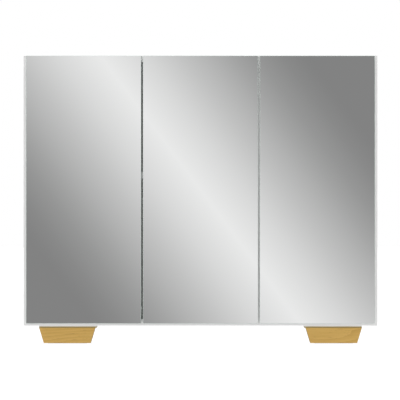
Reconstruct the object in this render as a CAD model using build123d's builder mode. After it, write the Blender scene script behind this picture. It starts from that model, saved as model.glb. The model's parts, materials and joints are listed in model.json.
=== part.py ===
from build123d import *

import os
from collections import namedtuple
from math import atan2, degrees, hypot, sqrt

# A bathroom mirror cabinet with three doors, standing on two wooden feet.
# X runs to the right, Y to the back and Z up. The origin is on the floor, under the
# middle of the cabinet. The mirrors face -Y. All sizes are in millimetres.

os.makedirs("parts", exist_ok=True)

# ---------------------------------------------------------------- driving sizes

# Overall
cabinet_width = 800.0
cabinet_depth = 150.0  # from the mirror's face to the wall
body_height = 610.0  # without the feet
foot_height = 40.0  # from the floor to the underside of the body

# Boards
panel_t = 15.0
shelf_t = 15.0
door_board_t = 15.0
mirror_t = 3.0
mirror_edge_chamfer = 0.5  # on the front edges of the glass
back_t = 3.0
rebate_width = 8.0  # how far the back panel reaches over each board
edge_round = 0.6  # on the long edges of the boards
shelf_side_gap = 0.6
shelf_setback = 12.0  # from the front edges of the side panels

# Doors
side_reveal = 6.0  # side panel that shows beside the outer doors
bottom_reveal = 5.0  # bottom panel that shows under the doors
door_split = 4.0  # between two doors
door_edge_chamfer = 1.0  # on the back edges of the door boards
door_swing_gap = 0.9  # left between an opening door and its neighbour
swing_clearance = 0.5  # left between an opening door and the body

# Rows of shelf holes, which also take the screws of the hinges
row_setback = 37.0  # front row, from the front edges of the panels
row_pitch = 32.0
row_first = 73.0  # lowest hole, above the underside of the body
row_top_margin = 80.0  # no holes closer than this to the top
row_back_margin = 25.0  # least distance from the back row to the wall
row_hole_r = 2.5
row_hole_skin = 2.0  # board left between two holes that face each other
wide_shelf_hole = 8  # counted from the lowest hole
narrow_shelf_holes = (4, 10)

# Shelf pins
shelf_pin_r = 2.4
shelf_pin_end_gap = 0.5
shelf_pin_drop = 3.5  # from the shelf's underside to the pin
shelf_pin_collar_r = 3.4
shelf_pin_collar_t = 0.5
shelf_tab_length = 9.0
shelf_tab_width = 8.0
shelf_tab_t = 2.0
shelf_gusset_length = 5.0

# Wall rail
rail_height = 60.0
rail_t = 15.0
wall_hole_r = 3.0
wall_hole_spacing = 600.0

# Hinge cups, in the door boards
cup_r = 17.4
cup_bore_clearance = 0.1
cup_depth = 13.8
cup_wall = 0.7
cup_floor_t = 0.65
cup_flange_r = 18.3
cup_flange_t = 1.2
cup_wing_width = 12.0
cup_wing_length = 58.0
cup_wing_corner_r = 2.5
cup_screw_offset = 24.0
cup_from_pin = 12.72  # from the pin to the middle of the cup
lug_inner = 6.5  # from the middle of the hinge to each lug
lug_t = 3.0
lug_r = 2.6

# Hinge pins and arms
pin_r = 1.25
pin_chamfer = 0.2
pin_press_clearance = 0.02
pin_running_clearance = 0.05
pin_least_inset = 7.25  # least distance from the door's edge to the pin
eye_r = 2.25
eye_gap = 0.3  # between the eye and the floor of the cup
arm_half_width = 6.0
arm_t = 2.4
arm_reach = 15.22  # from the pin to the middle of the arm's leg
arm_corner_r = 2.6
arm_length = 59.0  # behind the front edges of the panels
channel_start = 14.0  # behind the front edges of the panels
channel_half_width = 7.9
channel_flange_t = 1.4
channel_flange_depth = 5.0

# Hinge mounting plates
plate_start = 16.0  # behind the front edges of the panels
plate_end_inset = 1.0  # from the end of the arm
plate_base_t = 2.0
plate_base_half_width = 9.0
plate_wing_half_length = 22.0
plate_wing_width = 13.0
plate_block_half_width = 5.8
plate_screw_head_r = 4.0
plate_screw_head_t = 1.8
plate_screw_drive_r = 2.2
arm_screw_offsets = (26.0, 50.0)  # behind the front edges of the panels
arm_screw_r = 1.9
arm_screw_head_r = 3.4
arm_screw_head_t = 1.6
arm_screw_length = 9.0
arm_screw_drive_r = 1.9

# Push latches
barrel_r = 7.0
barrel_round = 0.8
barrel_length = 62.0
barrel_setback = 0.5
latch_height = 40.0  # latch axis, above the underside of the body
latch_bore_r = 3.08
latch_bore_depth = 50.0
latch_web_t = 6.0
latch_foot_t = 3.0
latch_foot_width = 26.0
latch_foot_start = 8.0
latch_foot_length = 44.0
latch_screw_inset = 15.0  # sideways from the latch axis
latch_screw_margin = 8.0  # from the front and back edges of the latch's foot
latch_side_gap = 2.0  # between a barrel and the partition
centre_latch_gap = 5.0  # from the door's edge to the barrel
plunger_r = 3.0
plunger_length = 36.0
plunger_touch_gap = 0.25
plunger_tip_r = 2.4
plunger_tip_length = 1.2
spring_wire_r = 0.35
spring_r = 2.2
spring_turns = 6
strike_width = 8.0
strike_below = 5.0
strike_above = 17.0
strike_t = 1.0
strike_corner_r = 1.5
strike_screw_offset = 12.5

# Door bumpers
bumper_r = 4.0
bumper_round = 0.8
bumper_inset = 15.0  # from the door's free edge
bumper_touch_gap = 0.2

# Feet
foot_top_length = 127.0
foot_side_slope = 10.5  # each end, from the top to the bottom
foot_inset = 35.0  # from the side of the body to the foot
foot_setback = 4.0  # from the front and back edges of the panels
foot_round = 1.0
foot_spacer_t = 2.0  # plastic sheet between the body and the plate
foot_plate_t = 3.0
foot_plate_overhang = 3.5  # beyond the foot's inner end
foot_plate_inset = 3.0  # front and back
foot_plate_corner_r = 2.0
foot_screw_spacing = 84.0  # both feet, along X
foot_screw_setback = 21.0  # from the foot's front and back
foot_screw_r = 2.9
foot_screw_grip = 18.0  # in the foot
foot_screw_head_r = 5.8
foot_screw_head_t = 2.9
foot_screw_drive_r = 3.2
insert_r = 4.2
insert_length = 16.0
pad_width = 88.0
pad_depth = 14.0
pad_t = 3.0
pad_proud = 0.5
pad_corner_r = 2.0
pad_setback = 16.0  # from the foot's front and back to the middle of a strip

# Screws, dowels and caps of the body
board_screw_r = 2.4
board_screw_length = 45.0
board_screw_head_r = 4.6
board_screw_head_t = 3.0
board_screw_drive_r = 2.6
cap_r = 5.8
cap_t = 1.6
screw_clearance = 0.1
dowel_r = 4.0
dowel_length = 30.0
dowel_chamfer = 0.8
dowel_skin = 4.0  # board left behind a dowel's end
dowel_clearance = 0.05
board_screw_margin = 26.0  # from the front and back edges of the body
back_screw_r = 1.3
back_screw_length = 14.0
back_screw_head_r = 2.6
back_screw_head_t = 1.3
back_screw_drive_r = 1.5
back_screw_pitch = 150.0
small_screw_r = 1.6
small_screw_length = 12.0
small_screw_head_r = 3.2
small_screw_head_t = 1.4
small_screw_drive_r = 1.8

# Every screw's head
drive_slot_share = 0.42  # width of the cross's slots, of its radius
drive_depth_share = 0.7  # of the head's thickness
head_round_share = 0.45  # of the head's thickness

# ---------------------------------------------------------------- derived places

front = -cabinet_depth / 2
back = cabinet_depth / 2
base = foot_height
top = base + body_height
side = cabinet_width / 2
inner_side = side - panel_t
inner_low = base + panel_t
inner_high = top - panel_t

door_t = mirror_t + door_board_t
door_width = (cabinet_width - 2 * side_reveal - 2 * door_split) / 3
door_low = base + bottom_reveal
free_board = door_board_t - cup_depth

# The pin's distances from the mirror's face and from the door's edge. The door's front
# corner turns about the pin and reaches past the edge by less than the split.
pin_depth = mirror_t + free_board + cup_floor_t + eye_gap + eye_r
corner_reach = door_split - door_swing_gap
pin_inset = max(pin_least_inset, (pin_depth**2 - corner_reach**2) / (2 * corner_reach))
cup_inset = pin_inset + cup_from_pin
leg_inset = pin_inset + arm_reach

# The door's back corner turns about the pin too, so the body stands clear of it.
pin_to_back = door_t - pin_depth
door_gap = hypot(pin_inset - door_edge_chamfer, pin_to_back) - pin_to_back + swing_clearance
body_front = front + door_t + door_gap
swing_r = pin_to_back + door_gap - swing_clearance
flange_inset = pin_inset - sqrt(swing_r**2 - (pin_to_back + cup_flange_t) ** 2)

# The partition stands behind the right-hand split between the doors.
partition_x = side - side_reveal - door_width - door_split / 2
partition_left = partition_x - panel_t / 2
partition_right = partition_x + panel_t / 2

row_count = int((body_height - row_first - row_top_margin) // row_pitch) + 1
row_heights = [base + row_first + row_pitch * n for n in range(row_count)]
row_front = body_front + row_setback
row_spaces = int((back - row_back_margin - row_front) // row_pitch)
row_back = row_front + row_pitch * row_spaces
row_hole_depth = (panel_t - row_hole_skin) / 2
shelf_pin_depth = row_hole_depth - shelf_pin_end_gap
hinge_heights = [
    row_heights[0] + row_pitch / 2,
    row_heights[-1] - row_pitch / 2,
]

back_face = back - back_t
rail_low = inner_high - rail_height
rail_front = back_face - rail_t
latch_z = base + latch_height
barrel_front = body_front + barrel_setback
plunger_front = front + door_t + strike_t + plunger_touch_gap

# Each door: its name, the X of its hinged edge, the way from there to its free edge, the
# face that its mounting plates sit on, and its latch's distance from the free edge.
Door = namedtuple("Door", "name hinge_x way plate_x latch_inset")
doors = [
    Door("left", side_reveal - side, 1, -inner_side, barrel_r - door_split / 2),
    Door(
        "centre",
        partition_x - door_split / 2,
        -1,
        partition_left,
        barrel_r + centre_latch_gap,
    ),
    Door(
        "right",
        side - side_reveal,
        -1,
        inner_side,
        barrel_r + latch_side_gap + (panel_t - door_split) / 2,
    ),
]


def latch_x(door):
    """X of the latch's axis."""
    return door.hinge_x + door.way * (door_width - door.latch_inset)


# ---------------------------------------------------------------- shared shapes


def save(build, name):
    """Labels a finished piece and writes it."""
    build.part.label = name
    export_step(build.part, f"parts/{name}.step")


def block(low, high, mode=Mode.ADD):
    """A box between two opposite corners, in the part being built."""
    corner = [min(pair) for pair in zip(low, high)]
    spans = [abs(b - a) for a, b in zip(low, high)]
    with Locations(tuple(corner)):
        Box(*spans, align=(Align.MIN, Align.MIN, Align.MIN), mode=mode)


def rod(start, direction, radius, length, mode=Mode.ADD):
    """A cylinder from a point along a direction, in the part being built."""
    with Locations(Plane(origin=start, z_dir=direction)):
        Cylinder(radius, length, align=(Align.CENTER, Align.CENTER, Align.MIN), mode=mode)


def drill(places, radius, depth):
    """Round holes in the part being built, each from a place against its outward way."""
    with Locations(*places):
        Hole(radius, depth=depth)


def drill_sunk(places, shank_r, head_r, head_t, length):
    """Countersunk screw holes with clearance, in the part being built."""
    angle = 2 * degrees(atan2(head_r - shank_r, head_t))
    with Locations(*places):
        CounterSinkHole(
            shank_r + screw_clearance,
            head_r + screw_clearance,
            depth=length + screw_clearance,
            counter_sink_angle=angle,
        )


def face_place(point, outward):
    """A place on a face, looking out of it."""
    return Plane(origin=point, z_dir=outward)


def plan_outline(door, points):
    """A closed outline seen from above, from distances from the door's edge and face."""
    return [(door.hinge_x + door.way * inset, front + depth) for inset, depth in points]


def raise_outline(outline, low_z, high_z, mode=Mode.ADD):
    """A prism on an outline seen from above, in the part being built."""
    with BuildSketch(Plane.XY.offset(low_z)) as profile:
        with BuildLine():
            Polyline(*outline, close=True)
        make_face()
    extrude(profile.sketch, amount=high_z - low_z, mode=mode)


def make_screw(shank_r, length, head_r, head_t, head_below, drive_r):
    """A screw along -Z. Its head stands on Z = 0, or lies below it with a cone under it."""
    with BuildPart() as screw:
        Cylinder(shank_r, length, align=(Align.CENTER, Align.CENTER, Align.MAX))
        if head_below:
            with Locations((0, 0, -head_t)):
                Cone(shank_r, head_r, head_t, align=(Align.CENTER, Align.CENTER, Align.MIN))
        else:
            Cylinder(head_r, head_t, align=(Align.CENTER, Align.CENTER, Align.MIN))
            fillet(screw.faces().sort_by(Axis.Z)[-1].edges(), head_t * head_round_share)
        with BuildSketch(Plane(screw.faces().sort_by(Axis.Z)[-1])) as drive:
            Rectangle(2 * drive_r, drive_r * drive_slot_share)
            Rectangle(drive_r * drive_slot_share, 2 * drive_r)
        extrude(drive.sketch, amount=-head_t * drive_depth_share, mode=Mode.SUBTRACT)
    return screw.part


# ---------------------------------------------------------------- body

body_depth_lines = (body_front + board_screw_margin, back - board_screw_margin)
middle_line = (body_front + back) / 2
rail_mid_y = rail_front + rail_t / 2
rail_mid_z = rail_low + rail_height / 2
floor_mid = base + panel_t / 2
ceiling_mid = top - panel_t / 2

# Where the screws of the body enter, and the way out of each hole
side_screw_spots = [(y, z) for y in body_depth_lines for z in (floor_mid, ceiling_mid)]
side_screw_spots.append((rail_mid_y, rail_mid_z))
partition_spots = [(partition_x, y) for y in body_depth_lines]
cap_places = []
for outward in (-1, 1):
    for y, z in side_screw_spots:
        cap_places.append(face_place((outward * side, y, z), (outward, 0, 0)))
for x, y in partition_spots:
    cap_places.append(face_place((x, y, top), (0, 0, 1)))
    cap_places.append(face_place((x, y, base), (0, 0, -1)))
screw_places = [place.offset(-cap_t) for place in cap_places]

# The outer end of each dowel, facing out: in the side panels at the corners, and in the
# top and bottom panels over and under the partition
dowel_places = []
for outward in (-1, 1):
    for z in (floor_mid, ceiling_mid):
        end = (outward * (side - dowel_skin), middle_line, z)
        dowel_places.append(face_place(end, (outward, 0, 0)))
dowel_places.append(face_place((partition_x, middle_line, top - dowel_skin), (0, 0, 1)))
dowel_places.append(face_place((partition_x, middle_line, base + dowel_skin), (0, 0, -1)))

back_low_x, back_high_x = -inner_side - rebate_width, inner_side + rebate_width
back_low_z, back_high_z = inner_low - rebate_width, inner_high + rebate_width


def body_screw_cuts():
    """Holes for the caps, heads and shanks of the screws, in the part being built."""
    drill(cap_places, cap_r + dowel_clearance, cap_t)
    drill_sunk(
        screw_places, board_screw_r, board_screw_head_r, board_screw_head_t, board_screw_length
    )


def dowel_cuts():
    """Holes for the dowels, in the part being built; each stops short of the board's outer face."""
    with Locations(*dowel_places):
        Cylinder(
            dowel_r + dowel_clearance,
            dowel_length,
            align=(Align.CENTER, Align.CENTER, Align.MAX),
            mode=Mode.SUBTRACT,
        )


def back_screw_places():
    """Where the screws go through the back panel's rim."""
    inset = rebate_width / 2
    span_x, span_z = back_high_x - back_low_x - 2 * inset, back_high_z - back_low_z - 2 * inset
    count_x, count_z = int(span_x // back_screw_pitch), int(span_z // back_screw_pitch)
    spots = []
    for n in range(count_x):
        x = back_low_x + inset + span_x * (n + 0.5) / count_x
        spots += [(x, back_low_z + inset), (x, back_high_z - inset)]
    for n in range(count_z):
        z = back_low_z + inset + span_z * (n + 0.5) / count_z
        spots += [(back_low_x + inset, z), (back_high_x - inset, z)]
    return [face_place((x, back, z), (0, 1, 0)) for x, z in spots]


def back_screw_cuts():
    """Countersunk holes for the back panel's screws, in the part being built."""
    drill_sunk(
        back_screw_places(), back_screw_r, back_screw_head_r, back_screw_head_t, back_screw_length
    )


def row_holes(face_x, outward):
    """Two rows of shelf holes in an upright face, in the part being built."""
    spots = [(face_x, y, z) for y in (row_front, row_back) for z in row_heights]
    drill([face_place(spot, (outward, 0, 0)) for spot in spots], row_hole_r, row_hole_depth)


def back_rebate():
    """The step that the back panel lies in, in the part being built."""
    low = (back_low_x, back_face, back_low_z)
    block(low, (back_high_x, back, back_high_z), Mode.SUBTRACT)


for name, outward in (("left", -1), ("right", 1)):
    with BuildPart() as side_panel:
        block((outward * inner_side, body_front, base), (outward * side, back, top))
        fillet(side_panel.edges().group_by(Axis.Y)[0], edge_round)
        back_rebate()
        body_screw_cuts()
        dowel_cuts()
        back_screw_cuts()
        row_holes(outward * inner_side, -outward)
    save(side_panel, f"{name}_side_panel")

with BuildPart() as top_panel:
    block((-inner_side, body_front, inner_high), (inner_side, back, top))
    back_rebate()
    body_screw_cuts()
    dowel_cuts()
    back_screw_cuts()
save(top_panel, "top_panel")

# Screws that hold the feet: their places on the bottom panel's upper face
foot_ways = {"left": -1, "right": 1}
foot_mid = side - foot_inset - foot_top_length / 2
foot_front = body_front + foot_setback
foot_back = back - foot_setback
foot_top_depth = panel_t + foot_spacer_t + foot_plate_t  # from the screws' places
foot_screw_length = foot_top_depth + foot_screw_grip
foot_depth = foot_back - foot_front
foot_screw_places = [
    face_place((way * foot_mid + dx, y, inner_low), (0, 0, 1))
    for way in foot_ways.values()
    for dx in (-foot_screw_spacing / 2, foot_screw_spacing / 2)
    for y in (foot_front + foot_screw_setback, foot_back - foot_screw_setback)
]

# Screws that hold the latches
latch_foot_low_y = barrel_front + latch_foot_start
latch_screw_ys = (
    latch_foot_low_y + latch_screw_margin,
    latch_foot_low_y + latch_foot_length - latch_screw_margin,
)
latch_screw_places = [
    face_place(
        (latch_x(door) - door.way * latch_screw_inset, y, inner_low + latch_foot_t),
        (0, 0, 1),
    )
    for door in doors
    for y in latch_screw_ys
]


def foot_screw_cuts():
    """Countersunk holes for the screws of the feet, in the part being built."""
    drill_sunk(
        foot_screw_places, foot_screw_r, foot_screw_head_r, foot_screw_head_t, foot_screw_length
    )


with BuildPart() as bottom_panel:
    block((-inner_side, body_front, base), (inner_side, back, inner_low))
    back_rebate()
    body_screw_cuts()
    dowel_cuts()
    back_screw_cuts()
    foot_screw_cuts()
    drill(latch_screw_places, small_screw_r + screw_clearance, small_screw_length + screw_clearance)
save(bottom_panel, "bottom_panel")

with BuildPart() as partition:
    block((partition_left, body_front, inner_low), (partition_right, back_face, inner_high))
    fillet(partition.edges().filter_by(Axis.Z).group_by(Axis.Y)[0], edge_round)
    block(
        (partition_left, rail_front, rail_low),
        (partition_right, back_face, inner_high),
        Mode.SUBTRACT,
    )
    body_screw_cuts()
    dowel_cuts()
    row_holes(partition_left, -1)
    row_holes(partition_right, 1)
save(partition, "partition")

wall_hole_places = [
    face_place((way * wall_hole_spacing / 2, rail_front, rail_mid_z), (0, -1, 0))
    for way in (-1, 1)
]

with BuildPart() as hanging_rail:
    block((-inner_side, rail_front, rail_low), (inner_side, back_face, inner_high))
    body_screw_cuts()
    drill(wall_hole_places, wall_hole_r, rail_t + back_t)
save(hanging_rail, "hanging_rail")

with BuildPart() as back_panel:
    block((back_low_x, back_face, back_low_z), (back_high_x, back, back_high_z))
    back_screw_cuts()
    drill(wall_hole_places, wall_hole_r, rail_t + back_t)
save(back_panel, "back_panel")


# ---------------------------------------------------------------- shelves


def shelf_bottom(hole):
    """Height of a shelf's underside, resting on pins in a numbered hole."""
    return row_heights[hole] + shelf_pin_drop


# Each shelf: its name, its two end faces and the hole that its pins are in
Shelf = namedtuple("Shelf", "name low_x high_x hole")
shelves = [
    Shelf("wide_shelf", -inner_side, partition_left, wide_shelf_hole),
    Shelf("narrow_shelf_lower", partition_right, inner_side, narrow_shelf_holes[0]),
    Shelf("narrow_shelf_upper", partition_right, inner_side, narrow_shelf_holes[1]),
]

for shelf in shelves:
    bottom = shelf_bottom(shelf.hole)
    with BuildPart() as board:
        block(
            (shelf.low_x + shelf_side_gap, body_front + shelf_setback, bottom),
            (shelf.high_x - shelf_side_gap, back_face - shelf_side_gap, bottom + shelf_t),
        )
        fillet(board.edges().filter_by(Axis.X).group_by(Axis.Y)[0], edge_round)
    save(board, shelf.name)

# One shelf pin, pointing along -Z into its hole, with its tab towards +Z under the shelf
with BuildPart() as shelf_pin:
    Cylinder(shelf_pin_r, shelf_pin_depth, align=(Align.CENTER, Align.CENTER, Align.MAX))
    Cylinder(
        shelf_pin_collar_r,
        shelf_pin_collar_t,
        align=(Align.CENTER, Align.CENTER, Align.MIN),
    )
    tab_low = (-shelf_tab_width / 2, shelf_pin_drop - shelf_tab_t, 0)
    tab_high = (shelf_tab_width / 2, shelf_pin_drop, shelf_tab_length)
    block(tab_low, tab_high)
    gusset_low = (-shelf_tab_t / 2, -shelf_pin_r, 0)
    gusset_high = (shelf_tab_t / 2, shelf_pin_drop - shelf_tab_t, shelf_gusset_length)
    block(gusset_low, gusset_high)

with BuildPart() as shelf_pins:
    for shelf in shelves:
        for face_x, outward in ((shelf.low_x, 1), (shelf.high_x, -1)):
            for y in (row_front, row_back):
                spot = (face_x, y, row_heights[shelf.hole])
                place = Plane(origin=spot, x_dir=(0, outward, 0), z_dir=(outward, 0, 0))
                with Locations(place):
                    add(shelf_pin.part)
save(shelf_pins, "shelf_pins")

# ---------------------------------------------------------------- body fasteners

board_screw = make_screw(
    board_screw_r,
    board_screw_length,
    board_screw_head_r,
    board_screw_head_t,
    True,
    board_screw_drive_r,
)
with BuildPart() as carcass_screws:
    with Locations(*screw_places):
        add(board_screw)
save(carcass_screws, "carcass_screws")

with BuildPart() as screw_caps:
    with Locations(*cap_places):
        Cylinder(cap_r, cap_t, align=(Align.CENTER, Align.CENTER, Align.MAX))
save(screw_caps, "screw_caps")

with BuildPart() as carcass_dowels:
    with Locations(*dowel_places):
        Cylinder(dowel_r, dowel_length, align=(Align.CENTER, Align.CENTER, Align.MAX))
    chamfer(carcass_dowels.edges().filter_by(GeomType.CIRCLE), dowel_chamfer)
save(carcass_dowels, "carcass_dowels")

back_screw = make_screw(
    back_screw_r,
    back_screw_length,
    back_screw_head_r,
    back_screw_head_t,
    True,
    back_screw_drive_r,
)
with BuildPart() as back_panel_screws:
    with Locations(*back_screw_places()):
        add(back_screw)
save(back_panel_screws, "back_panel_screws")

# ---------------------------------------------------------------- feet

spacer_low_z = base - foot_spacer_t
foot_top_z = spacer_low_z - foot_plate_t
foot_low_z = pad_proud
pad_ys = (foot_front + pad_setback, foot_back - pad_setback)


def pad_blocks(way, mode=Mode.ADD):
    """The two rubber strips under a foot, in the part being built."""
    for y in pad_ys:
        low = (way * foot_mid - pad_width / 2, y - pad_depth / 2, 0)
        block(low, (way * foot_mid + pad_width / 2, y + pad_depth / 2, pad_t), mode)


def foot_sheet(way, low_z, high_z):
    """A thin sheet over a foot's top, between two heights, in the part being built."""
    outer_x = way * (foot_mid + foot_top_length / 2)
    inner_x = way * (foot_mid - foot_top_length / 2 - foot_plate_overhang)
    low = (outer_x, foot_front + foot_plate_inset, low_z)
    block(low, (inner_x, foot_back - foot_plate_inset, high_z))


for name, way in foot_ways.items():
    half_top = foot_top_length / 2
    half_low = half_top - foot_side_slope
    with BuildPart() as foot:
        with BuildSketch(Plane.XZ.offset(-foot_front)) as profile:
            with BuildLine():
                Polyline(
                    (way * foot_mid - half_low, foot_low_z),
                    (way * foot_mid + half_low, foot_low_z),
                    (way * foot_mid + half_top, foot_top_z),
                    (way * foot_mid - half_top, foot_top_z),
                    close=True,
                )
            make_face()
        extrude(amount=-foot_depth)
        upright = foot.edges().group_by(Axis.Y)[0].edges() + foot.edges().group_by(Axis.Y)[-1]
        fillet(upright, foot_round)
        pad_blocks(way, Mode.SUBTRACT)
        foot_screw_cuts()
        with Locations(*[place.offset(-foot_top_depth) for place in foot_screw_places]):
            Hole(insert_r, depth=insert_length)
    save(foot, f"{name}_foot")

    with BuildPart() as foot_plate:
        foot_sheet(way, foot_top_z, spacer_low_z)
        fillet(foot_plate.edges().filter_by(Axis.Z), foot_plate_corner_r)
        foot_screw_cuts()
    save(foot_plate, f"{name}_foot_plate")

with BuildPart() as foot_spacers:
    for way in foot_ways.values():
        foot_sheet(way, spacer_low_z, base)
    fillet(foot_spacers.edges().filter_by(Axis.Z), foot_plate_corner_r)
    foot_screw_cuts()
save(foot_spacers, "foot_spacers")

with BuildPart() as foot_pads:
    for way in foot_ways.values():
        pad_blocks(way)
    fillet(foot_pads.edges().filter_by(Axis.Z), pad_corner_r)
save(foot_pads, "foot_pads")

foot_screw = make_screw(
    foot_screw_r,
    foot_screw_length,
    foot_screw_head_r,
    foot_screw_head_t,
    True,
    foot_screw_drive_r,
)
with BuildPart() as foot_screws:
    with Locations(*foot_screw_places):
        add(foot_screw)
save(foot_screws, "foot_screws")

with BuildPart() as foot_inserts:
    with Locations(*[place.offset(-foot_top_depth) for place in foot_screw_places]):
        Cylinder(insert_r - dowel_clearance, insert_length, align=(Align.CENTER, Align.CENTER, Align.MAX))
    with Locations(*foot_screw_places):
        Hole(foot_screw_r + screw_clearance, depth=foot_top_depth + insert_length)
save(foot_inserts, "foot_inserts")


# ---------------------------------------------------------------- doors

small_screw = make_screw(
    small_screw_r,
    small_screw_length,
    small_screw_head_r,
    small_screw_head_t,
    False,
    small_screw_drive_r,
)
door_back = front + door_t


def door_span(door, low_inset, high_inset):
    """The two X values at two distances from the door's hinged edge."""
    return door.hinge_x + door.way * low_inset, door.hinge_x + door.way * high_inset


def cup_middle(door, z):
    """The middle of a hinge cup's mouth, on the back of the door board."""
    return (door.hinge_x + door.way * cup_inset, door_back, z)


def cup_plane(door, z, depth=0.0):
    """A plane at the middle of a cup, facing the back, at a depth behind the door board."""
    x, y, z = cup_middle(door, z)
    return Plane(origin=(x, y + depth, z), x_dir=(-1, 0, 0), z_dir=(0, 1, 0))


def door_screw_places(door):
    """The five small screws on the back of a door: four for the cups, one for the strike."""
    places = []
    for z in hinge_heights:
        x = cup_middle(door, z)[0]
        for offset in (-cup_screw_offset, cup_screw_offset):
            places.append(face_place((x, door_back + cup_flange_t, z + offset), (0, 1, 0)))
    strike = (latch_x(door), door_back + strike_t, latch_z + strike_screw_offset)
    places.append(face_place(strike, (0, 1, 0)))
    return places


def door_screw_cuts(door):
    """Holes for the small screws of a door, in the part being built."""
    hole_depth = small_screw_length + screw_clearance
    drill(door_screw_places(door), small_screw_r + screw_clearance, hole_depth)


def hinge_cup(door, z):
    """One hinge cup with its flange and lugs, in the part being built."""
    with BuildPart() as shell:
        with BuildSketch(cup_plane(door, z, -cup_depth)):
            Circle(cup_r)
        extrude(amount=cup_depth)
        with BuildSketch(cup_plane(door, z)):
            Circle(cup_flange_r)
            Rectangle(cup_wing_width, cup_wing_length)
            # Everything nearer to the door's edge than the flange may come
            cut_middle = door.way * (cup_inset - flange_inset + cup_flange_r)
            with Locations((cut_middle, 0)):
                Rectangle(2 * cup_flange_r, cup_wing_length, mode=Mode.SUBTRACT)
        extrude(amount=cup_flange_t)
        fillet(shell.edges().filter_by(Axis.Y).group_by(Axis.Z)[0], cup_wing_corner_r)
        fillet(shell.edges().filter_by(Axis.Y).group_by(Axis.Z)[-1], cup_wing_corner_r)
        with BuildSketch(cup_plane(door, z, cup_floor_t - cup_depth)):
            Circle(cup_r - cup_wall)
        extrude(amount=cup_depth + cup_flange_t, mode=Mode.SUBTRACT)
    with BuildPart() as lugs:
        floor_depth = door_t - cup_depth + cup_floor_t / 2
        wall_inset = pin_inset - lug_r - cup_wall
        for low in (lug_inner, -lug_inner - lug_t):
            corners = [
                (wall_inset, floor_depth),
                (pin_inset + lug_r, floor_depth),
                (pin_inset + lug_r, pin_depth),
                (wall_inset, pin_depth),
            ]
            raise_outline(plan_outline(door, corners), z + low, z + low + lug_t)
            start = plan_outline(door, [(pin_inset, pin_depth)])[0]
            rod((*start, z + low), (0, 0, 1), lug_r, lug_t)
        within = cup_r - cup_wall / 2
        rod(cup_plane(door, z, -cup_depth).origin, (0, 1, 0), within, cup_depth, Mode.INTERSECT)
    add(shell.part)
    add(lugs.part)


for door in doors:
    low_x, high_x = door_span(door, 0, door_width)
    with BuildPart() as mirror_glass:
        block((low_x, front, door_low), (high_x, front + mirror_t, top))
        chamfer(mirror_glass.edges().group_by(Axis.Y)[0], mirror_edge_chamfer)
    save(mirror_glass, f"{door.name}_mirror")

    with BuildPart() as door_board:
        block((low_x, front + mirror_t, door_low), (high_x, door_back, top))
        chamfer(door_board.edges().group_by(Axis.Y)[-1], door_edge_chamfer)
        cup_mouths = [face_place(cup_middle(door, z), (0, 1, 0)) for z in hinge_heights]
        drill(cup_mouths, cup_r + cup_bore_clearance, cup_depth)
        door_screw_cuts(door)
    save(door_board, f"{door.name}_door")

    pin_spot = plan_outline(door, [(pin_inset, pin_depth)])[0]
    pin_half = lug_inner + lug_t - screw_clearance
    with BuildPart() as hinge_cups:
        for z in hinge_heights:
            hinge_cup(door, z)
            pin_hole_r = pin_r + pin_press_clearance
            rod((*pin_spot, z - pin_half), (0, 0, 1), pin_hole_r, 2 * pin_half, Mode.SUBTRACT)
        door_screw_cuts(door)
    save(hinge_cups, f"{door.name}_hinge_cups")

    with BuildPart() as hinge_pins:
        for z in hinge_heights:
            rod((*pin_spot, z - pin_half), (0, 0, 1), pin_r, 2 * pin_half)
        chamfer(hinge_pins.edges().filter_by(GeomType.CIRCLE), pin_chamfer)
    save(hinge_pins, f"{door.name}_hinge_pins")

    with BuildPart() as door_screws:
        with Locations(*door_screw_places(door)):
            add(small_screw)
    save(door_screws, f"{door.name}_door_screws")

    strike_x = latch_x(door)
    with BuildPart() as strike_plate:
        block(
            (strike_x - strike_width / 2, door_back, latch_z - strike_below),
            (strike_x + strike_width / 2, door_back + strike_t, latch_z + strike_above),
        )
        fillet(strike_plate.edges().filter_by(Axis.Y), strike_corner_r)
        door_screw_cuts(door)
    save(strike_plate, f"{door.name}_strike_plate")

    bumper_x = door.hinge_x + door.way * (door_width - bumper_inset)
    bumper_zs = ((door_low + inner_low) / 2, top - panel_t / 2)
    with BuildPart() as bumpers:
        for z in bumper_zs:
            rod((bumper_x, door_back, z), (0, 1, 0), bumper_r, door_gap - bumper_touch_gap)
        fillet(bumpers.edges().group_by(Axis.Y)[-1], bumper_round)
    save(bumpers, f"{door.name}_bumpers")


# ---------------------------------------------------------------- hinge arms and plates


def body_depth(distance):
    """Depth from the mirror's face, for a distance behind the front edges of the panels."""
    return door_t + door_gap + distance


def arm_screw_places(door, z):
    """Where the two screws of a hinge arm enter, on the arm's outer face."""
    x = door.hinge_x + door.way * (leg_inset + arm_t / 2)
    ys = [body_front + offset for offset in arm_screw_offsets]
    return [face_place((x, y, z), (door.way, 0, 0)) for y in ys]


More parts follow.
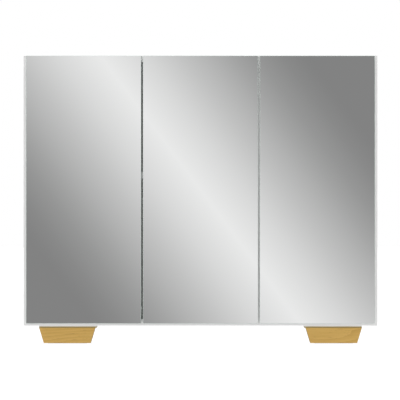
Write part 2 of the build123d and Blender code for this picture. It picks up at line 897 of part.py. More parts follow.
def hinge_arm(door, z):
    """One hinge arm: its eye round the pin, a neck, a leg and a channel over the plate."""
    low, high = z - arm_half_width, z + arm_half_width
    inner, outer = leg_inset - arm_t / 2, leg_inset + arm_t / 2
    end = body_depth(arm_length)
    with BuildPart() as arm:
        with BuildSketch(Plane.XY.offset(low)) as leg:
            with BuildLine():
                Polyline(
                    *plan_outline(
                        door,
                        [
                            (pin_inset, pin_depth - arm_t / 2),
                            (outer, pin_depth - arm_t / 2),
                            (outer, end),
                            (inner, end),
                            (inner, pin_depth + arm_t / 2),
                            (pin_inset, pin_depth + arm_t / 2),
                        ],
                    ),
                    close=True,
                )
            make_face()
            outer_corner = leg.vertices().group_by(Axis.Y)[0].sort_by(Axis.X)[-1 if door.way > 0 else 0]
            fillet(outer_corner, arm_corner_r)
            with Locations(pin_spots[door.name]):
                Circle(eye_r)
        extrude(amount=high - low)
        channel_low, channel_high = z - channel_half_width, z + channel_half_width
        web = plan_outline(
            door,
            [
                (inner, body_depth(channel_start)),
                (outer, body_depth(channel_start)),
                (outer, end),
                (inner, end),
            ],
        )
        raise_outline(web, channel_low, channel_high)
        lip = inner - channel_flange_depth
        wall = plan_outline(
            door,
            [
                (lip, body_depth(channel_start)),
                (inner, body_depth(channel_start)),
                (inner, end),
                (lip, end),
            ],
        )
        raise_outline(wall, channel_low, channel_low + channel_flange_t)
        raise_outline(wall, channel_high - channel_flange_t, channel_high)
        start = (*pin_spots[door.name], low)
        eye_bore = pin_r + pin_running_clearance
        rod(start, (0, 0, 1), eye_bore, 2 * arm_half_width, Mode.SUBTRACT)
        drill(arm_screw_places(door, z), arm_screw_r + screw_clearance, arm_t)
    add(arm.part)


def hinge_plate(door, z):
    """One mounting plate: a base with two wings, and a block that carries the arm."""
    face_inset = door.way * (door.plate_x - door.hinge_x)
    inner = leg_inset - arm_t / 2
    start, end = body_depth(plate_start), body_depth(arm_length - plate_end_inset)
    wing_mid = body_depth(row_setback)

    def plate_box(depths, insets, half_height):
        outline = [
            (insets[0], depths[0]),
            (insets[1], depths[0]),
            (insets[1], depths[1]),
            (insets[0], depths[1]),
        ]
        raise_outline(plan_outline(door, outline), z - half_height, z + half_height)

    with BuildPart() as plate:
        base_insets = (face_inset, face_inset + plate_base_t)
        wing_depths = (wing_mid - plate_wing_width / 2, wing_mid + plate_wing_width / 2)
        plate_box((start, end), base_insets, plate_base_half_width)
        plate_box(wing_depths, base_insets, plate_wing_half_length)
        plate_box((start, end), (face_inset, inner), plate_block_half_width)
        drill(arm_screw_places(door, z), arm_screw_r + screw_clearance, arm_screw_length)
        drill(plate_screw_places(door, z), shelf_pin_r + screw_clearance, plate_base_t)
    add(plate.part)


def plate_screw_places(door, z):
    """Where the two screws of a mounting plate enter, on its wings."""
    x = door.plate_x + door.way * plate_base_t
    return [
        face_place((x, row_front, z + offset), (door.way, 0, 0))
        for offset in (-row_pitch / 2, row_pitch / 2)
    ]


pin_spots = {door.name: plan_outline(door, [(pin_inset, pin_depth)])[0] for door in doors}

for door in doors:
    with BuildPart() as hinge_arms:
        for z in hinge_heights:
            hinge_arm(door, z)
    save(hinge_arms, f"{door.name}_hinge_arms")

    with BuildPart() as hinge_plates:
        for z in hinge_heights:
            hinge_plate(door, z)
    save(hinge_plates, f"{door.name}_hinge_plates")

plate_screw = make_screw(
    shelf_pin_r,
    plate_base_t + shelf_pin_depth,
    plate_screw_head_r,
    plate_screw_head_t,
    False,
    plate_screw_drive_r,
)
with BuildPart() as hinge_plate_screws:
    for door in doors:
        for z in hinge_heights:
            with Locations(*plate_screw_places(door, z)):
                add(plate_screw)
save(hinge_plate_screws, "hinge_plate_screws")

arm_screw = make_screw(
    arm_screw_r,
    arm_screw_length,
    arm_screw_head_r,
    arm_screw_head_t,
    False,
    arm_screw_drive_r,
)
with BuildPart() as hinge_arm_screws:
    for door in doors:
        for z in hinge_heights:
            with Locations(*arm_screw_places(door, z)):
                add(arm_screw)
save(hinge_arm_screws, "hinge_arm_screws")

# ---------------------------------------------------------------- latches

spring_length = latch_bore_depth - (plunger_front + plunger_length - barrel_front)

for door in doors:
    x = latch_x(door)
    inward = -door.way
    with BuildPart() as housing:
        rod((x, barrel_front, latch_z), (0, 1, 0), barrel_r, barrel_length)
        fillet(housing.edges().group_by(Axis.Y)[0], barrel_round)
        foot_edge = x - inward * latch_web_t / 2
        block(
            (foot_edge, latch_foot_low_y, inner_low),
            (
                foot_edge + inward * latch_foot_width,
                latch_foot_low_y + latch_foot_length,
                inner_low + latch_foot_t,
            ),
        )
        block(
            (x - latch_web_t / 2, latch_foot_low_y, inner_low),
            (x + latch_web_t / 2, latch_foot_low_y + latch_foot_length, latch_z),
        )
        rod(
            (x, barrel_front, latch_z),
            (0, 1, 0),
            latch_bore_r,
            latch_bore_depth,
            Mode.SUBTRACT,
        )
        drill(latch_screw_places, small_screw_r + screw_clearance, latch_foot_t)
    save(housing, f"{door.name}_latch_housing")

    with BuildPart() as plunger:
        tip_end = plunger_front + plunger_tip_length
        rod((x, tip_end, latch_z), (0, 1, 0), plunger_r, plunger_length - plunger_tip_length)
        rod((x, plunger_front, latch_z), (0, 1, 0), plunger_tip_r, plunger_tip_length)
    save(plunger, f"{door.name}_plunger")

with BuildPart() as latch_screws:
    with Locations(*latch_screw_places):
        add(small_screw)
save(latch_screws, "latch_screws")

spring_pitch = (spring_length - 4 * spring_wire_r) / spring_turns
with BuildPart() as spring:
    with BuildLine() as coil:
        Helix(pitch=spring_pitch, height=spring_pitch * spring_turns, radius=spring_r)
    with BuildSketch(Plane(origin=coil.line @ 0, z_dir=coil.line % 0)):
        Circle(spring_wire_r)
    sweep(is_frenet=True)

with BuildPart() as latch_springs:
    for door in doors:
        start = (latch_x(door), plunger_front + plunger_length + 2 * spring_wire_r, latch_z)
        with Locations(Plane(origin=start, z_dir=(0, 1, 0))):
            add(spring.part)
save(latch_springs, "latch_springs")
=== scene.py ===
import json
import math
import bpy
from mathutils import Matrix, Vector

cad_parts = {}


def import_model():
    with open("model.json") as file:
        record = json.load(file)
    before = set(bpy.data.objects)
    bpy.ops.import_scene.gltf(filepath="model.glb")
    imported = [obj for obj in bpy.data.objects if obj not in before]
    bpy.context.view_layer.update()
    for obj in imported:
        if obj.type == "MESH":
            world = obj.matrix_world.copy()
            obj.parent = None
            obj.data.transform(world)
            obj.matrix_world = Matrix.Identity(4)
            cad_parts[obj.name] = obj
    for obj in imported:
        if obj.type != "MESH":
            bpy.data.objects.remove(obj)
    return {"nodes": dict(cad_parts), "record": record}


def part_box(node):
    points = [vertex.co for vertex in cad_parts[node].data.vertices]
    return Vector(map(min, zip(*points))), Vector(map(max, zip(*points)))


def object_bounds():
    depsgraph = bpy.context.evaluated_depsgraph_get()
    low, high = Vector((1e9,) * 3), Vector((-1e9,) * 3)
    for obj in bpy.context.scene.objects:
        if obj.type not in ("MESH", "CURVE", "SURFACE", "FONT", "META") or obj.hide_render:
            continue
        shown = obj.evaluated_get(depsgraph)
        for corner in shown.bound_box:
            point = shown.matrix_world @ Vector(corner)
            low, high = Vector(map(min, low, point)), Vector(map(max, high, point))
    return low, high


# The looks of a bathroom mirror cabinet: a material for each CAD node, and a pale studio.
# Every shape is the CAD model's own. All sizes are in metres.

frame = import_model()
cad_low, cad_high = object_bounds()
nodes = frame["nodes"]
slot_of = {part["node"]: part["material_slot"] for part in frame["record"]["subparts"]}
MM = 0.001

# ---------------------------------------------------------------- node helpers


def srgb(red, edge_colour_with_highlight, blue):
    """A colour given as screen values from 0 to 255, as the shader's linear values."""

    def linear(value):
        v = value / 255
        return v / 12.92 if v <= 0.04045 else ((v + 0.055) / 1.055) ** 2.4

    return (linear(red), linear(edge_colour_with_highlight), linear(blue), 1.0)


def grey(value):
    """A grey by its linear value."""
    return (value, value, value, 1.0)


def set_stops(ramp_node, stops):
    """Gives a colour ramp its stops, each a position and a colour."""
    elements = ramp_node.color_ramp.elements
    while len(elements) < len(stops):
        elements.new(0.5)
    for element, (position, colour) in zip(elements, stops):
        element.position = position
        element.color = colour


class Shader:
    """A material's node tree, with short calls for the nodes used here."""

    def __init__(self, name):
        self.material = bpy.data.materials.new(name)
        self.material.use_nodes = True
        self.tree = self.material.node_tree
        self.bsdf = self.tree.nodes["Principled BSDF"]
        coordinates = self.add("ShaderNodeTexCoord")
        self.place = coordinates.outputs["Object"]
        self.normal = coordinates.outputs["Normal"]

    def add(self, kind, **settings):
        """A new node with its settings."""
        node = self.tree.nodes.new(kind)
        for key, value in settings.items():
            setattr(node, key, value)
        return node

    def link(self, source, target):
        """Joins a socket to a target socket, or sets the target to a plain value."""
        if isinstance(source, bpy.types.NodeSocket):
            self.tree.links.new(source, target)
        else:
            target.default_value = source

    def set(self, **inputs):
        """Sets the surface's inputs by name, with _ for a space."""
        for key, value in inputs.items():
            self.link(value, self.bsdf.inputs[key.replace("_", " ")])

    def math(self, operation, a, b=0.0, c=0.0):
        """The result of one sum."""
        node = self.add("ShaderNodeMath", operation=operation)
        for value, socket in zip((a, b, c), node.inputs):
            self.link(value, socket)
        return node.outputs[0]

    def axis(self, vector, letter):
        """One component of a vector."""
        node = self.add("ShaderNodeSeparateXYZ")
        self.link(vector, node.inputs[0])
        return node.outputs[letter]

    def stretch(self, scale, offset=(0, 0, 0)):
        """The place on the object, scaled by a different amount along each axis."""
        node = self.add("ShaderNodeMapping")
        self.link(self.place, node.inputs["Vector"])
        node.inputs["Scale"].default_value = scale
        node.inputs["Location"].default_value = offset
        return node.outputs[0]

    def noise(self, scale=1.0, detail=3.0, rough=0.5, vector=None, distortion=0.0):
        """Cloudy noise from 0 to 1, at the place on the object unless a vector is given."""
        node = self.add("ShaderNodeTexNoise")
        self.link(vector or self.place, node.inputs["Vector"])
        node.inputs["Scale"].default_value = scale
        node.inputs["Detail"].default_value = detail
        node.inputs["Roughness"].default_value = rough
        node.inputs["Distortion"].default_value = distortion
        return node.outputs["Fac"]

    def ramp(self, value, stops):
        """A colour by value: each stop is a position and a colour."""
        node = self.add("ShaderNodeValToRGB")
        set_stops(node, stops)
        self.link(value, node.inputs[0])
        return node.outputs[0]

    def mix(self, factor, a, b):
        """A colour between a, at 0, and b, at 1."""
        node = self.add("ShaderNodeMix", data_type="RGBA")
        factor_socket, colour_a, colour_b = node.inputs[0], node.inputs[6], node.inputs[7]
        self.link(factor, factor_socket)
        self.link(a, colour_a)
        self.link(b, colour_b)
        return node.outputs[2]

    def span(self, value, low, high, to_low=0.0, to_high=1.0):
        """A value mapped from one range to another, and kept inside it."""
        node = self.add("ShaderNodeMapRange", clamp=True)
        for got, socket in zip((value, low, high, to_low, to_high), node.inputs):
            self.link(got, socket)
        return node.outputs[0]

    def bump(self, height, distance, strength=1.0, below=None):
        """A bumped normal, over the one below if that is given."""
        node = self.add("ShaderNodeBump")
        self.link(height, node.inputs["Height"])
        node.inputs["Distance"].default_value = distance
        node.inputs["Strength"].default_value = strength
        if below is not None:
            self.link(below, node.inputs["Normal"])
        return node.outputs[0]


def near_line(shader, coordinate, line, half_width):
    """1 within half_width of a line on one axis, fading to 0 over as much again."""
    away = shader.math("ABSOLUTE", shader.math("SUBTRACT", coordinate, line))
    return shader.span(away, half_width, 2 * half_width, 1.0, 0.0)


# ---------------------------------------------------------------- materials

BAND = 1.0 * MM  # thickness of the edge bands on the boards
SEAM = 0.09 * MM  # half the width of the line where a band meets the board

# The faces of each board that carry an edge band: axis and end
BANDS = {
    "left_side_panel": ("Y-", "Z+", "Z-"),
    "right_side_panel": ("Y-", "Z+", "Z-"),
    "top_panel": ("Y-",),
    "bottom_panel": ("Y-",),
    "partition": ("Y-",),
    "hanging_rail": ("Z-",),
    "wide_shelf": ("Y-", "Y+"),
    "narrow_shelf_lower": ("Y-", "Y+"),
    "narrow_shelf_upper": ("Y-", "Y+"),
    "left_door": ("X-", "X+", "Z-", "Z+"),
    "centre_door": ("X-", "X+", "Z-", "Z+"),
    "right_door": ("X-", "X+", "Z-", "Z+"),
}


def melamine(node):
    """White melamine board: a pearl-textured satin face, with seams along its edge bands."""
    s = Shader(f"melamine_{node}")
    low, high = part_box(node)
    cloud = s.noise(7.0, detail=4.0)
    colour = s.mix(cloud, srgb(224, 224, 223), srgb(230, 230, 230))
    seam = None
    for band in BANDS[node]:
        index = "XYZ".index(band[0])
        line = low[index] + BAND if band[1] == "-" else high[index] - BAND
        found = near_line(s, s.axis(s.place, band[0]), line, SEAM)
        seam = found if seam is None else s.math("MAXIMUM", seam, found)
    colour = s.mix(s.math("MULTIPLY", seam, 0.45), colour, srgb(170, 167, 160))
    pearl = s.noise(1500.0, detail=2.0, rough=0.6)
    wide = s.noise(160.0)
    smooth = s.span(s.noise(35.0, detail=4.0), 0.3, 0.7, to_low=0.33, to_high=0.44)
    surface = s.bump(pearl, 0.05 * MM, strength=0.35)
    surface = s.bump(wide, 0.08 * MM, strength=0.2, below=surface)
    surface = s.bump(s.math("SUBTRACT", 1.0, seam), 0.12 * MM, strength=0.6, below=surface)
    s.set(Base_Color=colour, Roughness=smooth, Normal=surface, Specular_IOR_Level=0.42)
    return s.material


def mirror(node):
    """A silvered float glass mirror: silver from the front, green polished glass at the edges, with
    a painted highlight on the front bevel.
    """
    s = Shader(f"mirror_{node}")
    facing = s.math("MULTIPLY", s.axis(s.normal, "Y"), -1.0)
    front = s.span(facing, 0.9, 0.97)
    low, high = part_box(node)
    depth = s.span(s.axis(s.place, "Y"), low.y, high.y)
    # Painted highlight: the edges' green is pale at the front, where the polished bevel shows
    # beside the door gaps, and darker green towards the back.
    edge_tones_with_highlight = [(0.0, srgb(208, 224, 217)), (0.55, srgb(150, 186, 170)), (1.0, srgb(92, 110, 104))]
    edge_colour_with_highlight = s.ramp(depth, edge_tones_with_highlight)
    streak = s.noise(rough=0.6, vector=s.stretch((900, 300, 5)))
    edge_colour_with_highlight = s.mix(s.math("MULTIPLY", streak, 0.35), edge_colour_with_highlight, srgb(222, 236, 230))
    silver = s.mix(s.noise(2.2, detail=2.0), (0.905, 0.912, 0.908, 1), (0.912, 0.916, 0.914, 1))
    wiped = s.noise(detail=5.0, rough=0.65, vector=s.stretch((9, 9, 26)), distortion=1.2)
    haze = s.span(wiped, 0.45, 0.8, to_low=0.003, to_high=0.016)
    edge_rough = s.span(streak, 0.2, 0.8, to_low=0.08, to_high=0.2)
    front_rough = s.math("MULTIPLY", haze, front)
    side_rough = s.math("MULTIPLY", edge_rough, s.math("SUBTRACT", 1.0, front))
    rough = s.math("ADD", front_rough, side_rough)
    s.set(Base_Color=s.mix(front, edge_colour_with_highlight, silver), Metallic=front, Roughness=rough)
    s.set(Specular_IOR_Level=0.6)
    return s.material


def fibreboard(node):
    """Thin fibreboard with a painted white face and a raw brown rim."""
    s = Shader(f"fibreboard_{node}")
    side = s.math("ABSOLUTE", s.axis(s.normal, "Y"))
    rim = s.span(side, 0.5, 0.6, to_low=1.0, to_high=0.0)
    speckle = s.noise(900.0, rough=0.7)
    white = s.mix(s.noise(5.0, detail=4.0), srgb(222, 221, 218), srgb(230, 229, 226))
    specks = s.math("MULTIPLY", s.span(speckle, 0.62, 0.75), 0.25)
    white = s.mix(specks, white, srgb(196, 190, 180))
    raw = s.mix(speckle, srgb(126, 92, 60), srgb(168, 130, 92))
    rough = s.span(speckle, 0.2, 0.8, to_low=0.52, to_high=0.68)
    surface = s.bump(s.noise(420.0, detail=4.0, rough=0.6), 0.12 * MM, strength=0.5)
    s.set(Base_Color=s.mix(rim, white, raw), Roughness=rough, Normal=surface)
    return s.material


# The oak's growth lines: how many in a metre of height and in a metre of depth, and how
# many lines' width they wander
RINGS_UP = 135.0
RINGS_BACK = 60.0
RING_WANDER = 13.0
# How much of the oak's figure each of these makes
RING_SHARE = 0.30
FIBRE_SHARE = 0.50
CLOUD_SHARE = 0.20
PORE_EDGE = 14.0  # how sharply a pore begins


def oak(node):
    """Oiled oak with its grain along X: growth lines, fibres, pores and end grain at the ends."""
    s = Shader(f"oak_{node}")
    low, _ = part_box(node)
    shift = (low.x * 3.1, 0.37, low.x)  # takes each foot from another place in the wood
    layers = s.noise(detail=1.5, rough=0.4, vector=s.stretch((2.6, 12, 16), shift), distortion=0.35)
    wander = s.math("MULTIPLY", layers, RING_WANDER)
    rise = s.math("MULTIPLY_ADD", s.axis(s.place, "Z"), RINGS_UP, wander)
    ring = s.math("FRACT", s.math("MULTIPLY_ADD", s.axis(s.place, "Y"), RINGS_BACK, rise))
    fibres = s.noise(rough=0.65, vector=s.stretch((14, 420, 420), shift))
    cloud = s.noise(detail=2.0, vector=s.stretch((9, 40, 40), shift))
    figure = s.math("MULTIPLY_ADD", ring, RING_SHARE, s.math("MULTIPLY", fibres, FIBRE_SHARE))
    figure = s.math("MULTIPLY_ADD", cloud, CLOUD_SHARE, figure)
    tones = [
        (0.22, srgb(214, 175, 98)),
        (0.42, srgb(208, 169, 92)),
        (0.58, srgb(201, 161, 84)),
        (0.78, srgb(184, 145, 72)),
    ]
    face = s.ramp(figure, tones)
    pores = s.noise(detail=2.0, rough=0.7, vector=s.stretch((75, 1100, 1100), shift))
    threshold = s.span(ring, 0.0, 0.55, to_low=0.56, to_high=0.66)
    pore = s.math("MULTIPLY", s.math("SUBTRACT", pores, threshold), PORE_EDGE)
    pore = s.math("MINIMUM", s.math("MAXIMUM", pore, 0.0), 1.0)
    face = s.mix(s.math("MULTIPLY", pore, 0.42), face, srgb(126, 90, 42))
    ends = s.span(s.math("ABSOLUTE", s.axis(s.normal, "X")), 0.6, 0.8)
    dots = s.noise(detail=2.0, rough=0.6, vector=s.stretch((200, 700, 700)))
    end_ring = s.math("MULTIPLY_ADD", ring, 0.8, 0.1)
    end = s.mix(end_ring, srgb(182, 146, 83), srgb(156, 118, 61))
    end = s.mix(s.span(dots, 0.55, 0.7, to_low=0.0, to_high=0.4), end, srgb(112, 80, 38))
    surface = s.bump(pore, 0.06 * MM, strength=-0.6)
    surface = s.bump(figure, 0.05 * MM, strength=0.3, below=surface)
    rough = s.span(figure, 0.2, 0.8, to_low=0.46, to_high=0.56)
    s.set(Base_Color=s.mix(ends, face, end), Roughness=rough, Normal=surface)
    s.set(Specular_IOR_Level=0.35)
    return s.material


def raw_beech(node):
    """Unfinished beech, with short dark flecks."""
    s = Shader(f"raw_beech_{node}")
    flecks = s.noise(detail=2.0, rough=0.6, vector=s.stretch((120, 900, 900)))
    colour = s.mix(s.noise(60.0), srgb(214, 184, 144), srgb(226, 200, 164))
    dark = s.span(flecks, 0.6, 0.7, to_low=0.0, to_high=0.5)
    colour = s.mix(dark, colour, srgb(160, 118, 78))
    s.set(Base_Color=colour, Roughness=0.7, Normal=s.bump(flecks, 0.1 * MM, strength=0.4))
    return s.material


def powder_coat(node):
    """Olive-grey powder coat on sheet steel: a fine orange-peel skin."""
    s = Shader(f"powder_coat_{node}")
    peel = s.noise(650.0, detail=2.0, rough=0.6)
    colour = s.mix(s.noise(90.0), srgb(164, 146, 96), srgb(174, 156, 106))
    rough = s.span(peel, 0.3, 0.7, to_low=0.42, to_high=0.56)
    s.set(Base_Color=colour, Roughness=rough, Normal=s.bump(peel, 0.12 * MM, strength=0.5))
    return s.material


def nickel(node):
    """Pressed steel with bright nickel plating, faint rolling lines and handling marks."""
    s = Shader(f"nickel_{node}")
    rolled = s.noise(detail=4.0, rough=0.6, vector=s.stretch((500, 40, 900)))
    marks = s.noise(55.0, detail=5.0, rough=0.65)
    colour = s.mix(marks, srgb(205, 201, 192), srgb(224, 221, 213))
    rolled_rough = s.span(rolled, 0.3, 0.7, to_low=0.14, to_high=0.24)
    marked_rough = s.span(marks, 0.5, 0.8, to_low=0.0, to_high=0.14)
    rough = s.math("ADD", rolled_rough, marked_rough)
    surface = s.bump(rolled, 0.03 * MM, strength=0.4)
    s.set(Base_Color=colour, Metallic=1.0, Roughness=rough, Normal=surface)
    return s.material


def bright_steel(node):
    """Plain bright steel, ground along its length."""
    s = Shader(f"bright_steel_{node}")
    ground = s.noise(rough=0.6, vector=s.stretch((1400, 1400, 60)))
    colour = s.mix(ground, srgb(178, 179, 182), srgb(200, 201, 204))
    rough = s.span(ground, 0.3, 0.7, to_low=0.2, to_high=0.34)
    s.set(Base_Color=colour, Metallic=1.0, Roughness=rough)
    s.set(Normal=s.bump(ground, 0.02 * MM, strength=0.5))
    return s.material


def zinc(node):
    """Zinc-plated screws: bluish bright metal with duller, yellower patches."""
    s = Shader(f"zinc_{node}")
    patches = s.noise(240.0, detail=4.0, rough=0.6)
    tones = [(0.3, srgb(170, 174, 180)), (0.55, srgb(202, 205, 210)), (0.75, srgb(190, 188, 176))]
    colour = s.ramp(patches, tones)
    rough = s.span(patches, 0.3, 0.7, to_low=0.24, to_high=0.4)
    s.set(Base_Color=colour, Metallic=1.0, Roughness=rough)
    s.set(Normal=s.bump(s.noise(900.0), 0.02 * MM, strength=0.4))
    return s.material


def brass(node):
    """Turned brass with fine tool marks round its axis."""
    s = Shader(f"brass_{node}")
    turned = s.noise(detail=2.0, vector=s.stretch((20, 20, 2600)))
    colour = s.mix(turned, srgb(196, 158, 84), srgb(220, 184, 110))
    rough = s.span(turned, 0.3, 0.7, to_low=0.22, to_high=0.36)
    s.set(Base_Color=colour, Metallic=1.0, Roughness=rough)
    s.set(Normal=s.bump(turned, 0.03 * MM, strength=0.5))
    return s.material


def moulded(node, dark, light, gloss):
    """Moulded plastic: a fine spark-eroded grain and slight flow marks."""
    s = Shader(f"moulded_{node}")
    grain = s.noise(1100.0, detail=2.0, rough=0.7)
    flow = s.noise(vector=s.stretch((40, 15, 60)), distortion=0.8)
    rough = s.span(grain, 0.3, 0.7, to_low=gloss, to_high=gloss + 0.14)
    s.set(Base_Color=s.mix(flow, dark, light), Roughness=rough)
    s.set(Normal=s.bump(grain, 0.05 * MM, strength=0.4), Specular_IOR_Level=0.45)
    return s.material


def white_plastic(node):
    return moulded(node, srgb(228, 228, 225), srgb(236, 236, 234), 0.36)


def plunger_plastic(node):
    return moulded(node, srgb(176, 178, 182), srgb(190, 192, 195), 0.3)


def rubber(node):
    """Black rubber with a dull bloom and a fine grain."""
    s = Shader(f"rubber_{node}")
    bloom = s.noise(70.0, detail=5.0, rough=0.6)
    grain = s.noise(1300.0, detail=2.0, rough=0.7)
    colour = s.mix(bloom, srgb(34, 34, 35), srgb(56, 56, 57))
    s.set(Base_Color=colour, Roughness=s.span(bloom, 0.3, 0.7, to_low=0.7, to_high=0.86))
    s.set(Normal=s.bump(grain, 0.08 * MM, strength=0.5))
    return s.material


def clear_rubber(node):
    """A soft, clear bumper: frosted and slightly milky."""
    s = Shader(f"clear_rubber_{node}")
    milk = s.noise(300.0, rough=0.6)
    colour = s.mix(milk, srgb(214, 217, 219), srgb(232, 234, 236))
    rough = s.span(milk, 0.3, 0.7, to_low=0.22, to_high=0.4)
    s.set(Base_Color=colour, Roughness=rough, IOR=1.43)
    s.set(Transmission_Weight=0.45, Normal=s.bump(milk, 0.04 * MM, strength=0.4))
    return s.material


FINISHES = {
    "white_board": melamine,
    "back_board": fibreboard,
    "mirror": mirror,
    "oak": oak,
    "dowel_wood": raw_beech,
    "foot_plate_steel": powder_coat,
    "nickel_plate": nickel,
    "pin_steel": bright_steel,
    "zinc_screws": zinc,
    "brass": brass,
    "white_plastic": white_plastic,
    "plunger_plastic": plunger_plastic,
    "pad_rubber": rubber,
    "bumper_rubber": clear_rubber,
}

for name, obj in nodes.items():
    obj.data.materials.clear()
    obj.data.materials.append(FINISHES[slot_of[name]](name))

# ---------------------------------------------------------------- stage

front_y = cad_low.y
centre_x = (cad_low.x + cad_high.x) / 2
CAMERA_SHIFT = -1.1 * MM  # the view's middle, left of the cabinet's
CAMERA_DISTANCE = 20.0  # in front of the mirrors
CAMERA_HEIGHT = 0.324
VIEW_WIDTH = 0.9035  # at the mirrors
SENSOR_WIDTH = 36.0  # in millimetres, as Blender has it
CLIP_RANGE = (0.1, 200.0)

FLOOR_SIZE = 80.0
FLOOR_GREYS = (grey(0.14), grey(0.16))
FLOOR_GLOW = 0.9  # the floor's own light, which keeps it nearly white under the suns
CARD_SIZE = 24.0
CARD_DISTANCE = 1.5  # in front of the mirrors

# The card in front of the cabinet that its mirrors reflect: a diagonal band of light on
# grey, from the distance off the band's middle, in metres, to the tone that shows.
BAND_TONES = [
    (0.0, 233),
    (0.034, 226),
    (0.08, 215),
    (0.15, 193),
    (0.24, 163),
    (0.28, 150),
    (0.33, 137),
    (0.37, 130),
    (0.60, 130),
    (1.1, 205),
    (1.5, 160),
    (1.9, 215),
    (2.4, 150),
    (3.0, 190),
]
BAND_ACROSS = (0.8, 0.6)  # right and up
BAND_PLACE = (-0.2145, 0.633)  # a point on the band's middle, as it shows on the mirrors
MIRROR_SHARE = 0.91  # how much of the card's light the mirrors return

# The room's grey from straight down (0) by the horizon (0.5) to straight up (1)
ROOM_TONES = [(0.0, 0.6), (0.48, 0.66), (0.52, 0.22), (1.0, 0.7)]


def stage_plane(name, centre, across, up, side):
    """A square on the stage, from its centre, its two directions and its side."""
    across, up = Vector(across), Vector(up)
    corners = [
        Vector(centre) + across * (right * side / 2) + up * (above * side / 2)
        for right, above in ((-1, -1), (1, -1), (1, 1), (-1, 1))
    ]
    mesh = bpy.data.meshes.new(name)
    mesh.from_pydata([tuple(corner) for corner in corners], [], [(0, 1, 2, 3)])
    plane = bpy.data.objects.new(name, mesh)
    bpy.context.scene.collection.objects.link(plane)
    return plane


def floor():
    """A pale floor that glows a little, and neither lights nor shows in the cabinet."""
    plane = stage_plane("studio_floor", (0, 0, 0), (1, 0, 0), (0, 1, 0), FLOOR_SIZE)
    s = Shader("pale_floor")
    s.set(Base_Color=s.mix(s.noise(3.0), *FLOOR_GREYS), Roughness=0.8, Specular_IOR_Level=0.1)
    s.set(Emission_Color=grey(1.0), Emission_Strength=FLOOR_GLOW)
    plane.data.materials.append(s.material)
    plane.visible_diffuse = False
    plane.visible_glossy = False
    plane.visible_shadow = False


def card():
    """The card, which shows only in reflections, with its pattern larger for its distance."""
    spread = 1 + CARD_DISTANCE / CAMERA_DISTANCE
    y = front_y - CARD_DISTANCE
    plane = stage_plane("reflection_card", (0, y, 0), (1, 0, 0), (0, 0, 1), CARD_SIZE)
    s = Shader("reflection_card")
    x, z = s.axis(s.place, "X"), s.axis(s.place, "Z")
    place_x = centre_x + (BAND_PLACE[0] - centre_x) * spread
    place_z = CAMERA_HEIGHT + (BAND_PLACE[1] - CAMERA_HEIGHT) * spread
    off_x = s.math("MULTIPLY", s.math("SUBTRACT", x, place_x), BAND_ACROSS[0] / spread)
    off_z = s.math("MULTIPLY", s.math("SUBTRACT", z, place_z), BAND_ACROSS[1] / spread)
    off = s.math("ABSOLUTE", s.math("ADD", off_x, off_z))
    reach = BAND_TONES[-1][0]
    stops = [(distance / reach, srgb(tone, tone, tone)) for distance, tone in BAND_TONES]
    tone = s.ramp(s.math("DIVIDE", off, reach), stops)
    emit = s.add("ShaderNodeEmission")
    s.link(tone, emit.inputs["Color"])
    emit.inputs["Strength"].default_value = 1 / MIRROR_SHARE
    s.link(emit.outputs[0], s.tree.nodes["Material Output"].inputs["Surface"])
    plane.data.materials.append(s.material)
    plane.visible_camera = False
    plane.visible_diffuse = False
    plane.visible_transmission = False
    plane.visible_shadow = False


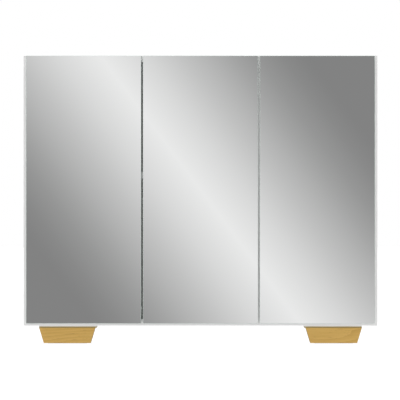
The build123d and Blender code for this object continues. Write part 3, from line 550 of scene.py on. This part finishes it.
def world():
    """White behind the object, and round it a soft grey room that is brighter overhead."""
    room_world = bpy.data.worlds.new("studio")
    bpy.context.scene.world = room_world
    room_world.use_nodes = True
    tree = room_world.node_tree
    backdrop = tree.nodes["Background"]
    room = tree.nodes.new("ShaderNodeBackground")
    place = tree.nodes.new("ShaderNodeTexCoord")
    split = tree.nodes.new("ShaderNodeSeparateXYZ")
    height = tree.nodes.new("ShaderNodeMapRange")
    ramp = tree.nodes.new("ShaderNodeValToRGB")
    path = tree.nodes.new("ShaderNodeLightPath")
    mix = tree.nodes.new("ShaderNodeMixShader")
    tree.links.new(place.outputs["Generated"], split.inputs[0])
    tree.links.new(split.outputs["Z"], height.inputs["Value"])
    height.inputs["From Min"].default_value = -1.0
    tree.links.new(height.outputs[0], ramp.inputs[0])
    set_stops(ramp, [(position, grey(tone)) for position, tone in ROOM_TONES])
    tree.links.new(ramp.outputs[0], room.inputs["Color"])
    backdrop.inputs["Color"].default_value = grey(1.0)
    tree.links.new(path.outputs["Is Camera Ray"], mix.inputs[0])
    tree.links.new(room.outputs[0], mix.inputs[1])
    tree.links.new(backdrop.outputs[0], mix.inputs[2])
    tree.links.new(mix.outputs[0], tree.nodes["World Output"].inputs["Surface"])


def sun(name, towards, strength, spread_deg):
    """A sun that shines towards a direction; a wide spread makes soft shadows."""
    lamp = bpy.data.lights.new(name, "SUN")
    lamp.energy = strength
    lamp.angle = math.radians(spread_deg)
    obj = bpy.data.objects.new(name, lamp)
    obj.rotation_mode = "QUATERNION"
    obj.rotation_quaternion = Vector(towards).to_track_quat("-Z", "Y")
    bpy.context.scene.collection.objects.link(obj)
    return obj


def camera():
    """A far camera with a long lens, level and square to the mirrors."""
    data = bpy.data.cameras.new("camera")
    data.sensor_width = SENSOR_WIDTH
    data.lens = SENSOR_WIDTH * CAMERA_DISTANCE / VIEW_WIDTH
    data.clip_start, data.clip_end = CLIP_RANGE
    obj = bpy.data.objects.new("camera", data)
    obj.location = (centre_x + CAMERA_SHIFT, front_y - CAMERA_DISTANCE, CAMERA_HEIGHT)
    obj.rotation_euler = (math.radians(90), 0, 0)
    bpy.context.scene.collection.objects.link(obj)
    bpy.context.scene.camera = obj


floor()
card()
world()
front_light = sun("front_light", towards=(0.02, 1, 0.03), strength=1.15, spread_deg=6.0)
front_light.visible_glossy = False
sun("top_light", towards=(0.15, 0.10, -1), strength=0.5, spread_deg=50.0)
sun("left_fill", towards=(1, 0.05, -0.3), strength=0.7, spread_deg=20.0)
sun("right_fill", towards=(-1, 0.05, -0.3), strength=0.7, spread_deg=20.0)
sun("back_fill", towards=(0.2, -1, -0.4), strength=0.9, spread_deg=20.0)
camera()
bpy.context.scene.view_settings.view_transform = "Standard"
